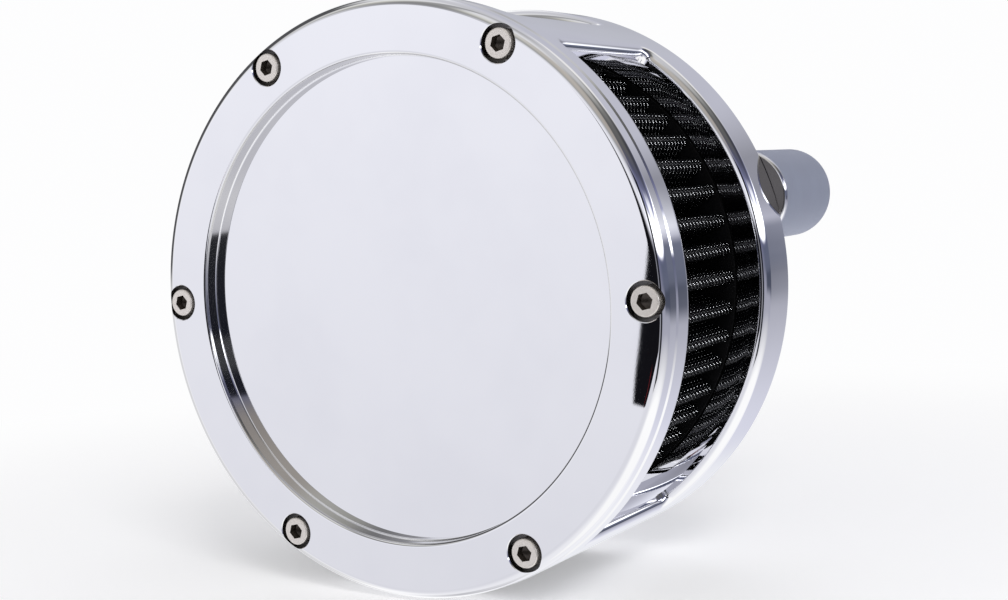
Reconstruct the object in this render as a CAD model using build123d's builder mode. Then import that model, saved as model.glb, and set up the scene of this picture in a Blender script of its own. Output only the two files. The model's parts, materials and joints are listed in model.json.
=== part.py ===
"""Round open-cage air cleaner for a V-twin motorcycle.

Frame: the filter axis is Y. The front cover faces -Y, the engine side faces +Y, +Z is up.
Origin: centre of the throttle bore on the back face of the housing. Millimetres.
"""

import math
import os

from build123d import *

# ---------------------------------------------------------------- driving dimensions
outer_r = 82.5  # housing, 165 mm across
body_depth = 81.8  # cover face to housing back face
back_wall = 9.2  # polished ledge round the element to the housing's back face
seat_r = 70.3  # the element's rear ring is sunk into the floor inside this radius
seat_depth = 3.2
bore_r = 73.0  # clear bore through the front ring and between the webs
edge_round = 2.8  # polished rounding on cover rim and window rims
edge_break = 0.4  # chamfer on turned rims
fine_break = 0.3  # chamfer on small turned rims

cover_r = 82.2
cover_thick = 6.35
pilot_r = 72.7  # raised disc under the cover, centred by the housing bore
pilot_height = 2.0
recess_r = 66.6
recess_depth = 4.5
recess_lip = 1.0

screw_pcr = 76.5  # pitch circle radius of the cover screws
screw_count = 6
screw_head_r = 3.96
screw_head_height = 4.83
screw_shank_r = 2.41
screw_length = 9.5
screw_socket = 3.97  # across flats
screw_socket_depth = 2.6
screw_tap_r = 2.5
screw_clear_r = 2.7
counterbore_r = 5.15
counterbore_depth = 4.9
head_break = 0.07  # chamfer of a screw head, as a part of its radius
tip_break = 0.16  # chamfer of a screw's tip, as a part of its radius

window_count = 3
window_half_angle = 53.7
window_front = 14.85  # from the cover face
window_back = 65.5
window_corner = 2.4
pocket_r = 78.3  # the ledge runs out to here behind each window
cutter_overlap = 3.0  # how far a cutter runs past the wall it opens

element_r = 70.0
element_bore_r = 48.5
element_gap = 0.1  # to the cover and the floor
front_ring_height = 6.0
rear_ring_height = 3.2
end_ring_round = 0.4
pleat_count = 50
pleat_tip_r = 68.65
pleat_root_r = 52.0
pleat_fold = 1.15  # half width of a fold on the media's middle surface
media_half = 0.55
mesh_inner = 0.62
mesh_outer = 0.92

throttle_r = 23.0
throttle_screw_pcr = 32.0
throttle_screw_count = 3
throttle_screw_r = 3.175
throttle_clear_r = 3.4
throttle_head_r = 4.76
throttle_head_height = 6.35
throttle_screw_length = 22.2
throttle_neck_r = 2.9  # plain shank ahead of the thread
throttle_socket = 4.76
throttle_socket_depth = 3.2
inlet_ring_r = 42.0
inlet_ring_thick = 11.0
inlet_round = 8.0
inlet_rim_round = 1.5
inlet_counterbore_r = 5.3
inlet_counterbore_floor = 3.0
inlet_groove_in = 38.5
inlet_groove_out = 40.7
inlet_groove_depth = 1.4
lock_washer_thick = 1.6
lock_washer_out = 5.0
lock_washer_play = 0.1  # washer to screw, on the radius
lock_washer_gap = 0.6
gasket_seat_r = 40.0
gasket_thick = 1.5  # squeezed flush with the back face
gasket_play = 0.4  # gasket to its seat, on the radius
gasket_inset = 0.6  # how far the gasket stays back from the bore
relief_in = 44.0
relief_out = 56.0
relief_depth = 3.0

standoff_x = 69.0
standoff_z = 22.8
standoff_r = 13.45
standoff_end = 38.0
collar_r = 13.65
collar_thick = 1.5
collar_round = 0.8
spigot_r = 8.6
spigot_reach = 2.6  # into the housing socket
socket_r = 8.7
socket_depth = 4.0
standoff_bore_r = 7.4
bolt_seat = 25.2  # shoulder inside the standoff
bolt_hole_r = 5.1
bolt_r = 4.76
bolt_neck_r = 4.35  # plain shank inside the standoff
bolt_thread_start = 0.4  # behind the standoff's rear face
bolt_head_r = 7.15
bolt_head_height = 6.5
bolt_washer_thick = 1.2
bolt_washer_play = 0.15  # washer to the standoff's bore, on the radius
bolt_reach = 14.0  # free end behind the standoff
bolt_socket = 7.94
bolt_socket_depth = 4.0
vent_r = 2.6
vent_hole_r = 2.0
vent_hole_pcr = 66.8
vent_groove_in = 45.0
vent_groove_depth = 1.2
face_seal_in = 8.6
face_seal_out = 10.9
face_seal_depth = 1.7
face_seal_squeeze = 0.05
spigot_seal_cord_r = 0.6

# ---------------------------------------------------------------- worked-out places
front_y = -body_depth
floor_y = -back_wall
seat_y = floor_y + seat_depth
seam_y = front_y + cover_thick
screw_seat_y = front_y + screw_head_height
element_front_y = seam_y + pilot_height + element_gap
element_back_y = seat_y - element_gap
pleat_front_y = element_front_y + front_ring_height
pleat_back_y = element_back_y - rear_ring_height
standoff_angle = math.degrees(math.atan2(standoff_z, standoff_x))
standoff_pcr = math.hypot(standoff_x, standoff_z)
inlet_front_y = seat_y - inlet_ring_thick
lock_washer_y = seat_y - inlet_counterbore_floor
sides = {"right": 1, "left": -1}


def facing_front(y):
    """A plane across the filter axis at y, with local x = X, local y = Z, normal towards the cover."""
    return Plane.XZ.offset(-y)


def ring_profile(inner, outer, y_from, y_to):
    """A rectangle in the radius-axis half plane, for revolving about Y."""
    with BuildSketch(Plane.XY) as section:
        with Locations(((inner + outer) / 2, (y_from + y_to) / 2)):
            Rectangle(outer - inner, abs(y_to - y_from))
    return section.sketch


def standoff_places(side):
    """The centre of one standoff in a plane that faces the front."""
    return Locations((sides[side] * standoff_x, standoff_z))


def export(builder, name):
    """Labels a finished piece and writes its STEP file."""
    builder.part.label = name
    export_step(builder.part, f"parts/{name}.step")


def window_turn(index):
    """How far a piece swept by one window's width is turned to sit behind that window."""
    return 360 / window_count * index + window_half_angle


def window_cutter(index):
    """The solid that opens one window, with rounded corners."""
    with BuildPart() as cutter:
        add(
            ring_profile(
                bore_r - cutter_overlap,
                outer_r + 2 * cutter_overlap,
                front_y + window_front,
                front_y + window_back,
            )
        )
        revolve(axis=Axis.Y, revolution_arc=2 * window_half_angle)
        radial = [e for e in cutter.edges().filter_by(GeomType.LINE) if abs(e.tangent_at(0.5).Y) < 0.01]
        fillet(radial, window_corner)
    return cutter.part.rotate(Axis.Y, window_turn(index))


def floor_pocket(index):
    """The solid that carries the ledge outwards behind one window."""
    with BuildPart() as pocket:
        pocket_front = front_y + window_back - window_corner - cutter_overlap
        add(ring_profile(bore_r - cutter_overlap, pocket_r, pocket_front, floor_y))
        revolve(axis=Axis.Y, revolution_arc=2 * window_half_angle)
    return pocket.part.rotate(Axis.Y, window_turn(index))


os.makedirs("parts", exist_ok=True)

# ---------------------------------------------------------------- housing
window_cutters = [window_cutter(index) for index in range(window_count)]
floor_pockets = [floor_pocket(index) for index in range(window_count)]

with BuildPart() as housing:
    # outer shell, bored from the front down to the ledge and on to the element seat
    with BuildSketch(Plane.XY):
        with BuildLine():
            Polyline(
                (0, 0),
                (outer_r, 0),
                (outer_r, seam_y),
                (bore_r, seam_y),
                (bore_r, floor_y),
                (seat_r, floor_y),
                (seat_r, seat_y),
                (0, seat_y),
                (0, 0),
            )
        make_face()
    revolve(axis=Axis.Y)
    rims = housing.edges().filter_by(GeomType.CIRCLE).filter_by(lambda e: abs(e.radius - outer_r) < 0.01)
    chamfer(rims, edge_break)

    # windows between the webs
    add(window_cutters, mode=Mode.SUBTRACT)
    window_rims = [
        e
        for e in housing.edges()
        if all(abs(math.hypot(p.X, p.Z) - outer_r) < 0.02 for p in (e @ 0, e @ 0.5, e @ 1))
        and front_y + window_front - 0.1 < (e @ 0.5).Y < front_y + window_back + 0.1
    ]
    fillet(window_rims, edge_round)

    # the ledge runs out to the back lip behind each window
    add(floor_pockets, mode=Mode.SUBTRACT)

    # throttle bore, gasket seat and lightening groove in the back face
    with BuildSketch(facing_front(0)):
        Circle(throttle_r)
    extrude(amount=back_wall, mode=Mode.SUBTRACT)
    with BuildSketch(facing_front(0)):
        Circle(gasket_seat_r)
    extrude(amount=gasket_thick, mode=Mode.SUBTRACT)
    with BuildSketch(facing_front(0)):
        Circle(relief_out)
        Circle(relief_in, mode=Mode.SUBTRACT)
    extrude(amount=relief_depth, mode=Mode.SUBTRACT)

    # throttle screw holes
    with BuildSketch(facing_front(0)):
        with PolarLocations(throttle_screw_pcr, throttle_screw_count, start_angle=90):
            Circle(throttle_clear_r)
    extrude(amount=back_wall, mode=Mode.SUBTRACT)

    # tapped holes for the cover screws, in the front ring and the web ends
    with BuildSketch(facing_front(seam_y)):
        with PolarLocations(screw_pcr, screw_count):
            Circle(screw_tap_r)
    extrude(amount=-(window_front - cover_thick), mode=Mode.SUBTRACT)

    # standoff sockets in the back, each vented to the clean side through the seat
    for side in sides:
        with BuildSketch(facing_front(0)):
            with standoff_places(side):
                Circle(socket_r)
        extrude(amount=socket_depth, mode=Mode.SUBTRACT)
        angle = standoff_angle if side == "right" else 180 - standoff_angle
        with BuildSketch(facing_front(seat_y)):
            with PolarLocations(vent_hole_pcr, 1, start_angle=angle):
                Circle(vent_hole_r)
        extrude(amount=-back_wall / 2, mode=Mode.SUBTRACT)
        with BuildSketch(facing_front(seat_y)):
            with PolarLocations((vent_groove_in + vent_hole_pcr) / 2, 1, start_angle=angle):
                SlotCenterToCenter(vent_hole_pcr - vent_groove_in, 2 * vent_hole_r)
        extrude(amount=-vent_groove_depth, mode=Mode.SUBTRACT)
export(housing, "housing")

# ---------------------------------------------------------------- cover
with BuildPart() as cover:
    with BuildSketch(Plane.XY):
        with BuildLine():
            Polyline(
                (0, front_y + recess_depth),
                (recess_r, front_y + recess_depth),
                (recess_r, front_y),
                (cover_r, front_y),
                (cover_r, seam_y),
                (pilot_r, seam_y),
                (pilot_r, seam_y + pilot_height),
                (0, seam_y + pilot_height),
                (0, front_y + recess_depth),
            )
        make_face()
    revolve(axis=Axis.Y)
    circles = cover.edges().filter_by(GeomType.CIRCLE)
    fillet(circles.filter_by(lambda e: e.radius > cover_r - 0.1 and e.center().Y < front_y + 0.1), edge_round)
    circles = cover.edges().filter_by(GeomType.CIRCLE)
    fillet(circles.filter_by(lambda e: abs(e.radius - recess_r) < 0.1 and e.center().Y < front_y + 0.1), recess_lip)
    circles = cover.edges().filter_by(GeomType.CIRCLE)
    chamfer(circles.filter_by(lambda e: e.radius > cover_r - 0.1 and e.center().Y > seam_y - 0.1), fine_break)
    chamfer(circles.filter_by(lambda e: e.center().Y > seam_y + pilot_height - 0.1), edge_break)
    with Locations(facing_front(front_y)):
        with PolarLocations(screw_pcr, screw_count):
            CounterBoreHole(screw_clear_r, counterbore_r, counterbore_depth)
export(cover, "cover")


def socket_screw(head, shank, socket, seat_y, places, neck=(0, 0), drill=0):
    """Socket head cap screws whose heads sit on seat_y, pointing towards the engine.

    head, shank and neck are (radius, length) and socket is (across flats, depth). The neck is a plain
    length between head and thread, and drill is the radius of a hole from end to end.
    """
    with BuildPart() as screws:
        count = len(places.locations)
        with BuildSketch(facing_front(seat_y)):
            with places:
                Circle(head[0])
        extrude(amount=head[1])
        chamfer(screws.faces().sort_by(Axis.Y)[:count].edges(), head[0] * head_break)
        if neck[1]:
            with BuildSketch(facing_front(seat_y)):
                with places:
                    Circle(neck[0])
            extrude(amount=-neck[1])
        with BuildSketch(facing_front(seat_y + neck[1])):
            with places:
                Circle(shank[0])
        extrude(amount=neck[1] - shank[1])
        chamfer(screws.faces().sort_by(Axis.Y)[-count:].edges(), shank[0] * tip_break)
        with BuildSketch(facing_front(seat_y - head[1])):
            with places:
                RegularPolygon(socket[0] / 2, 6, major_radius=False)
        extrude(amount=-socket[1], mode=Mode.SUBTRACT)
        if drill:
            with BuildSketch(facing_front(seat_y - head[1])):
                with places:
                    Circle(drill)
            extrude(amount=-(shank[1] + head[1]), mode=Mode.SUBTRACT)
    return screws


cover_screws = socket_screw(
    head=(screw_head_r, screw_head_height),
    shank=(screw_shank_r, screw_length),
    socket=(screw_socket, screw_socket_depth),
    seat_y=screw_seat_y,
    places=PolarLocations(screw_pcr, screw_count),
)
export(cover_screws, "cover_screws")


# ---------------------------------------------------------------- filter element
def pleat_outline(shift):
    """Corner points of the folded sheet's surface, shifted outwards from its middle surface."""
    points = []
    pitch = 2 * math.pi / pleat_count
    tip_r = pleat_tip_r + shift
    root_r = pleat_root_r + shift
    tip_half = (pleat_fold + shift) / tip_r
    root_half = (pleat_fold - shift) / root_r
    for index in range(pleat_count):
        tip = index * pitch
        root = tip + pitch / 2
        for radius, angle in (
            (tip_r, tip - tip_half),
            (tip_r, tip + tip_half),
            (root_r, root - root_half),
            (root_r, root + root_half),
        ):
            points.append((radius * math.cos(angle), radius * math.sin(angle)))
    points.append(points[0])
    return points


def pleated_sheet(inner_shift, outer_shift):
    """A folded band between two shifted surfaces, running between the two end rings."""
    with BuildPart() as sheet:
        with BuildSketch(facing_front(pleat_back_y)):
            with BuildLine():
                Polyline(*pleat_outline(outer_shift))
            make_face()
            with BuildLine():
                Polyline(*pleat_outline(inner_shift))
            make_face(mode=Mode.SUBTRACT)
        extrude(amount=pleat_back_y - pleat_front_y)
    return sheet


def end_ring(y_from, y_to):
    """A soft moulded ring that seals one end of the folded sheet."""
    with BuildPart() as ring:
        add(ring_profile(element_bore_r, element_r, y_from, y_to))
        revolve(axis=Axis.Y)
        fillet(ring.edges().filter_by(GeomType.CIRCLE), end_ring_round)
    return ring


filter_media = pleated_sheet(-media_half, media_half)
export(filter_media, "filter_media")
filter_outer_mesh = pleated_sheet(mesh_inner, mesh_outer)
export(filter_outer_mesh, "filter_outer_mesh")
filter_inner_mesh = pleated_sheet(-mesh_outer, -mesh_inner)
export(filter_inner_mesh, "filter_inner_mesh")
filter_front_ring = end_ring(element_front_y, pleat_front_y)
export(filter_front_ring, "filter_front_ring")
filter_rear_ring = end_ring(pleat_back_y, element_back_y)
export(filter_rear_ring, "filter_rear_ring")

# ---------------------------------------------------------------- inlet ring and throttle fixings
with BuildPart() as inlet_ring:
    add(ring_profile(throttle_r, inlet_ring_r, inlet_front_y, seat_y))
    revolve(axis=Axis.Y)
    mouth = inlet_ring.edges().filter_by(GeomType.CIRCLE)
    fillet(mouth.filter_by(lambda e: e.radius < throttle_r + 1 and e.center().Y < inlet_front_y + 0.1), inlet_round)
    mouth = inlet_ring.edges().filter_by(GeomType.CIRCLE)
    fillet(mouth.filter_by(lambda e: e.radius > inlet_ring_r - 1 and e.center().Y < inlet_front_y + 0.1), inlet_rim_round)
    with Locations(facing_front(inlet_front_y)):
        with PolarLocations(throttle_screw_pcr, throttle_screw_count, start_angle=90):
            CounterBoreHole(
                throttle_clear_r, inlet_counterbore_r, inlet_ring_thick - inlet_counterbore_floor
            )
    with BuildSketch(facing_front(seat_y)):
        Circle(inlet_groove_out)
        Circle(inlet_groove_in, mode=Mode.SUBTRACT)
    extrude(amount=inlet_groove_depth, mode=Mode.SUBTRACT)
export(inlet_ring, "inlet_ring")


def o_ring(mean_r, cord_r, y):
    """An O-ring about the filter axis direction, centred on the origin of its plane."""
    with BuildSketch(Plane.XY) as cord:
        with Locations((mean_r, y)):
            Circle(cord_r)
    return cord.sketch


with BuildPart() as inlet_ring_seal:
    add(o_ring((inlet_groove_in + inlet_groove_out) / 2, inlet_groove_depth / 2, seat_y - inlet_groove_depth / 2))
    revolve(axis=Axis.Y)
export(inlet_ring_seal, "inlet_ring_seal")

throttle_places = PolarLocations(throttle_screw_pcr, throttle_screw_count, start_angle=90)
throttle_seat_y = lock_washer_y - lock_washer_thick
throttle_screws = socket_screw(
    head=(throttle_head_r, throttle_head_height),
    shank=(throttle_screw_r, throttle_screw_length),
    socket=(throttle_socket, throttle_socket_depth),
    seat_y=throttle_seat_y,
    places=throttle_places,
    neck=(throttle_neck_r, -throttle_seat_y),
)
export(throttle_screws, "throttle_screws")

with BuildPart() as throttle_screw_washers:
    with BuildSketch(facing_front(lock_washer_y)):
        with throttle_places:
            Circle(lock_washer_out)
            Circle(throttle_screw_r + lock_washer_play, mode=Mode.SUBTRACT)
        with PolarLocations(throttle_screw_pcr + lock_washer_out, throttle_screw_count, start_angle=90):
            Rectangle(throttle_screw_r * 2, lock_washer_gap, mode=Mode.SUBTRACT)
    extrude(amount=lock_washer_thick)
export(throttle_screw_washers, "throttle_screw_washers")

with BuildPart() as throttle_gasket:
    with BuildSketch(facing_front(-gasket_thick)):
        Circle(gasket_seat_r - gasket_play)
        Circle(throttle_r + gasket_inset, mode=Mode.SUBTRACT)
        with PolarLocations(throttle_screw_pcr, throttle_screw_count, start_angle=90):
            Circle(throttle_clear_r, mode=Mode.SUBTRACT)
    extrude(amount=-gasket_thick)
export(throttle_gasket, "throttle_gasket")

# ---------------------------------------------------------------- standoffs, one pair
for side in sides:
    with BuildPart() as collar:
        with BuildSketch(facing_front(0)):
            with standoff_places(side):
                Circle(collar_r)
        extrude(amount=-collar_thick)
        front_rim = collar.edges().sort_by(Axis.Y)[0]
        fillet(front_rim, collar_round)
        with BuildSketch(facing_front(0)):
            with standoff_places(side):
                Circle(socket_r)
        extrude(amount=-collar_thick, mode=Mode.SUBTRACT)
    export(collar, f"standoff_collar_{side}")

    with BuildPart() as standoff:
        with BuildSketch(facing_front(collar_thick)):
            with standoff_places(side):
                Circle(standoff_r)
        extrude(amount=collar_thick - standoff_end)
        chamfer(standoff.edges().filter_by(GeomType.CIRCLE), edge_break)
        with BuildSketch(facing_front(collar_thick)):
            with standoff_places(side):
                Circle(spigot_r)
        extrude(amount=collar_thick + spigot_reach)
        chamfer(standoff.edges().filter_by(GeomType.CIRCLE).sort_by(Axis.Y)[0], fine_break)
        with BuildSketch(facing_front(-spigot_reach)):
            with standoff_places(side):
                Circle(standoff_bore_r)
        extrude(amount=-(spigot_reach + bolt_seat), mode=Mode.SUBTRACT)
        with BuildSketch(facing_front(bolt_seat)):
            with standoff_places(side):
                Circle(bolt_hole_r)
        extrude(amount=bolt_seat - standoff_end, mode=Mode.SUBTRACT)
        with BuildSketch(facing_front(standoff_end)):
            with standoff_places(side):
                Circle(face_seal_out)
                Circle(face_seal_in, mode=Mode.SUBTRACT)
        extrude(amount=face_seal_depth, mode=Mode.SUBTRACT)
    export(standoff, f"standoff_{side}")

    with BuildPart() as spigot_seal:
        add(o_ring((standoff_bore_r + spigot_r) / 2, spigot_seal_cord_r, 0))
        revolve(axis=Axis.Y)
    centre_y = -(socket_depth + spigot_reach) / 2
    spigot_seal.part = Pos(sides[side] * standoff_x, centre_y, standoff_z) * spigot_seal.part
    export(spigot_seal, f"standoff_seal_{side}")

    with BuildPart() as head_seal:
        add(o_ring((face_seal_in + face_seal_out) / 2, face_seal_depth / 2 - face_seal_squeeze, 0))
        revolve(axis=Axis.Y)
    centre_y = standoff_end - face_seal_depth / 2
    head_seal.part = Pos(sides[side] * standoff_x, centre_y, standoff_z) * head_seal.part
    export(head_seal, f"head_seal_{side}")

    with BuildPart() as bolt_washer:
        with BuildSketch(facing_front(bolt_seat)):
            with standoff_places(side):
                Circle(standoff_bore_r - 2 * bolt_washer_play)
                Circle(bolt_hole_r, mode=Mode.SUBTRACT)
        extrude(amount=bolt_washer_thick)
    export(bolt_washer, f"breather_bolt_washer_{side}")

    bolt_head_y = bolt_seat - bolt_washer_thick
    breather_bolt = socket_screw(
        head=(bolt_head_r, bolt_head_height),
        shank=(bolt_r, standoff_end + bolt_reach - bolt_head_y),
        socket=(bolt_socket, bolt_socket_depth),
        seat_y=bolt_head_y,
        places=standoff_places(side),
        neck=(bolt_neck_r, standoff_end + bolt_thread_start - bolt_head_y),
        drill=vent_r,
    )
    export(breather_bolt, f"breather_bolt_{side}")
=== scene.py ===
"""Looks of the round air cleaner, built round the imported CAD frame. Lengths are mm, unless called metres."""

import json
import math
from types import SimpleNamespace

import bmesh
import bpy
import numpy as np
from mathutils import Matrix, Vector
from mathutils.geometry import delaunay_2d_cdt


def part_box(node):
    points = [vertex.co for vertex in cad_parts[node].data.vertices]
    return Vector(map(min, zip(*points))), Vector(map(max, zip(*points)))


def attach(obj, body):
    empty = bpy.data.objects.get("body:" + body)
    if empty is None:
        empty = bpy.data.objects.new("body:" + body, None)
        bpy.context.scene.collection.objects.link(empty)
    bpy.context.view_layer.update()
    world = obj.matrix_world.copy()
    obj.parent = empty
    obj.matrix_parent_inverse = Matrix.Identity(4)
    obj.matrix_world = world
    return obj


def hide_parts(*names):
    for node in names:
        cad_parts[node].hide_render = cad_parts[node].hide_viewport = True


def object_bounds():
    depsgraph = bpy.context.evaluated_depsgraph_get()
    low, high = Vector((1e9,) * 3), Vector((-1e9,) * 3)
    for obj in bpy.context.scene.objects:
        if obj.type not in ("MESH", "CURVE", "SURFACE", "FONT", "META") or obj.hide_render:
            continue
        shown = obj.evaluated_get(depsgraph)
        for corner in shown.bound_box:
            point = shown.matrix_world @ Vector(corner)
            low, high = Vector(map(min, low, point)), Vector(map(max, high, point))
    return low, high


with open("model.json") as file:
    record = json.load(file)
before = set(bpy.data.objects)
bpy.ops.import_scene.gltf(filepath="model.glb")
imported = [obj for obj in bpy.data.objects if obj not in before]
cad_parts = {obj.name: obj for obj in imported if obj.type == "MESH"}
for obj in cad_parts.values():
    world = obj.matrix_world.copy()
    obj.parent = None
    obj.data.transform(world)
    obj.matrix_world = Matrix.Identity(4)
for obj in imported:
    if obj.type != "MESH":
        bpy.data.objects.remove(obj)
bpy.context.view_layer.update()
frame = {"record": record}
MM = 0.001
TAU = 2 * math.pi
SLOTS = {part["node"]: part["material_slot"] for part in frame["record"]["subparts"]}
BODIES = {node: body for body, nodes in frame["record"]["behaviour"]["bodies"].items() for node in nodes}


# -------- places read from the frame
def mm_box(node):
    """Lowest and highest corners of a CAD node at rest."""
    lo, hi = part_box(node)
    return [v / MM for v in lo], [v / MM for v in hi]


def centre_xz(node):
    """Where a round node's axis stands, as (x, z)."""
    lo, hi = mm_box(node)
    return (lo[0] + hi[0]) / 2, (lo[2] + hi[2]) / 2


def ring_places(radius, count, first=0.0):
    """Evenly spaced (x, z) places on a circle, the first one at the given angle in degrees."""
    angles = [math.radians(first + 360 * k / count) for k in range(count)]
    return [(radius * math.cos(a), radius * math.sin(a)) for a in angles]


housing_lo, housing_hi = mm_box("housing")
cover_lo, cover_hi = mm_box("cover")
OUTER_R = (housing_hi[0] - housing_lo[0]) / 2
BACK_Y = housing_hi[1]
SEAM_Y = housing_lo[1]
FRONT_Y = cover_lo[1]
COVER_R = (cover_hi[0] - cover_lo[0]) / 2
PILOT_Y = cover_hi[1]
SEAT_Y = mm_box("inlet_ring")[1][1]
LEDGE_Y = BACK_Y - 9.2
STANDOFFS = {side: centre_xz(f"standoff_{side}") for side in ("right", "left")}

# -------- sizes, mm
BORE_R = 73.0
POCKET_R = 78.3
LEDGE_CROWN = 90.0  # the ledge outside the bore is buffed to a slight crown of this radius
SEAT_R = 70.3
EDGE_ROUND = 2.8
EDGE_BREAK = 0.4
WINDOW_FRONT = FRONT_Y + 14.85
WINDOW_BACK = FRONT_Y + 65.5
WINDOW_HALF = math.radians(53.7)
WINDOW_CORNER = 2.4
SECTOR_HALF = math.radians(60)
TAP_R, TAP_DEPTH = 2.5, 8.2
SOCKET_R, SOCKET_DEPTH = 8.7, 4.0
SOCKET_CHAMFER = 0.4
VENT_R, VENT_PCR = 2.0, 66.8
VENT_GROOVE, VENT_GROOVE_END = 1.2, 45.0
GASKET_SEAT_R, GASKET = 40.0, 1.5
RELIEF_IN, RELIEF_OUT = 44.0, 56.0
RELIEF_DEPTH, RELIEF_ROUND = 3.0, 0.6

RECESS_R = 66.6
RECESS_DEPTH = 4.5
RECESS_LIP = 1.0
COVER_SEGMENTS = 480
PILOT_R = 72.7
COUNTERBORE_R = 5.15
COUNTERBORE_DEPTH = 4.9
COUNTERBORE_BREAK = 0.2
SCREW_CLEAR_R = 2.7
COVER_SCREWS = ring_places(76.5, 6)

THROTTLE_R = 23.0
THROTTLE_CLEAR_R = 3.4
THROTTLE_SCREWS = ring_places(32.0, 3, 90)
INLET_R, INLET_HEIGHT, INLET_MOUTH = 42.0, 11.0, 8.0
INLET_SEAT_R, INLET_SEAT = 5.3, 3.0
LOCK_WASHER = 1.6

COLLAR_R, COLLAR_Y = 13.65, BACK_Y + 1.5
STANDOFF_R, STANDOFF_BORE_R, STANDOFF_HOLE_R = 13.45, 7.4, 5.1
SPIGOT_R, SPIGOT_Y = 8.6, BACK_Y - 2.6
BOLT_SEAT_Y, BOLT_WASHER = 25.2, 1.2
BOLT_NECK_END = 38.4

PLEATS = 50
FOLD_TIP_R, FOLD_ROOT_R = 68.65, 52.0
FOLD_ROUND = 0.95
TIP_STEPS, ROOT_STEPS = 10, 6
ELEMENT_R, ELEMENT_BORE_R = 70.0, 48.5
MESH_PITCH = 1.1
GAUZE_PITCH = 0.42
WIRE_HALF, WIRE_LIFT = 0.23, 0.2  # half thickness of a wire and half its swing, in pitches


# -------- mesh building
def placed(name, data):
    """A new object of the scene."""
    obj = bpy.data.objects.new(name, data)
    bpy.context.scene.collection.objects.link(obj)
    return obj


def make_object(name, verts, faces, join=True):
    """An object of the given points, with its faces turned outwards and doubled points joined."""
    mesh = bpy.data.meshes.new(name)
    mesh.from_pydata([(x * MM, y * MM, z * MM) for x, y, z in verts], [], faces)
    bm = bmesh.new()
    bm.from_mesh(mesh)
    if join:
        bmesh.ops.remove_doubles(bm, verts=bm.verts, dist=1.5e-6)
        bmesh.ops.dissolve_degenerate(bm, edges=bm.edges, dist=1e-7)
    bmesh.ops.recalc_face_normals(bm, faces=bm.faces)
    bm.to_mesh(mesh)
    bm.free()
    return placed(name, mesh)


def band(low, high, n):
    """Quads between two closed rows of n points, given the rows' first points."""
    return [(low + i, low + (i + 1) % n, high + (i + 1) % n, high + i) for i in range(n)]


def joined(parts):
    """One pair of points and faces out of several."""
    verts, faces = [], []
    for part_verts, part_faces in parts:
        base = len(verts)
        verts += part_verts
        faces += [tuple(i + base for i in face) for face in part_faces]
    return verts, faces


def merged_tool(parts):
    """One cutting object out of solids that don't touch."""
    return make_object("tool", *joined(parts))


def spin(rows, segments, centre=(0, 0)):
    """Points and faces of a closed turned form of (radius, y) rows; a radius may vary by segment."""
    angles = np.arange(segments) * TAU / segments
    verts, rings = [], []
    for radius, y in rows:
        pole = np.isscalar(radius) and radius == 0
        rings.append((len(verts), pole))
        xs, zs = centre[0] + radius * np.cos(angles), centre[1] + radius * np.sin(angles)
        verts += [(x, y, z) for x, z in zip(xs, zs)][: 1 if pole else segments]
    faces = []
    for (low, low_pole), (high, high_pole) in zip(rings, rings[1:] + rings[:1]):
        for i in range(0 if low_pole and high_pole else segments):
            j = (i + 1) % segments
            if low_pole:
                faces.append((low, high + i, high + j))
            elif high_pole:
                faces.append((low + i, high, low + j))
            else:
                faces.append((low + i, high + i, high + j, low + j))
    return verts, faces


def hole(radius, y0, y1, segments, centre):
    """A plain cylinder to cut a hole with."""
    return spin([(0, y0), (radius, y0), (radius, y1), (0, y1)], segments, centre)


def prism(outline, y0, y1):
    """A straight solid along Y over an outline of (x, z) points."""
    n = len(outline)
    verts = [(x, y, z) for y in (y0, y1) for x, z in outline]
    return verts, [tuple(range(n)), tuple(range(n, 2 * n)), *band(0, n, n)]


def arc(r, y, radius, start, end, steps):
    """Profile points (r, y) on an arc; angles in degrees, 0 is outwards and 90 towards +Y."""
    angles = [math.radians(start + (end - start) * k / steps) for k in range(steps + 1)]
    return [(r + radius * math.cos(a), y + radius * math.sin(a)) for a in angles]


def cut(obj, tools):
    """Takes the tool solids away from obj, exactly, and deletes them."""
    for tool in tools:
        mod = obj.modifiers.new("cut", "BOOLEAN")
        mod.operation = "DIFFERENCE"
        mod.solver = "EXACT"
        mod.object = tool
        bpy.context.view_layer.update()
        done = bpy.data.meshes.new_from_object(obj.evaluated_get(bpy.context.evaluated_depsgraph_get()))
        obj.modifiers.clear()
        old = obj.data
        obj.data = done
        bpy.data.meshes.remove(old)
        bpy.data.objects.remove(tool)


def read(items, name, width=1, kind=np.float32):
    """A mesh collection's values as an array with one row per item."""
    values = np.zeros(len(items) * width, kind)
    items.foreach_get(name, values)
    return values if width == 1 else values.reshape(-1, width).astype(float)


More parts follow.
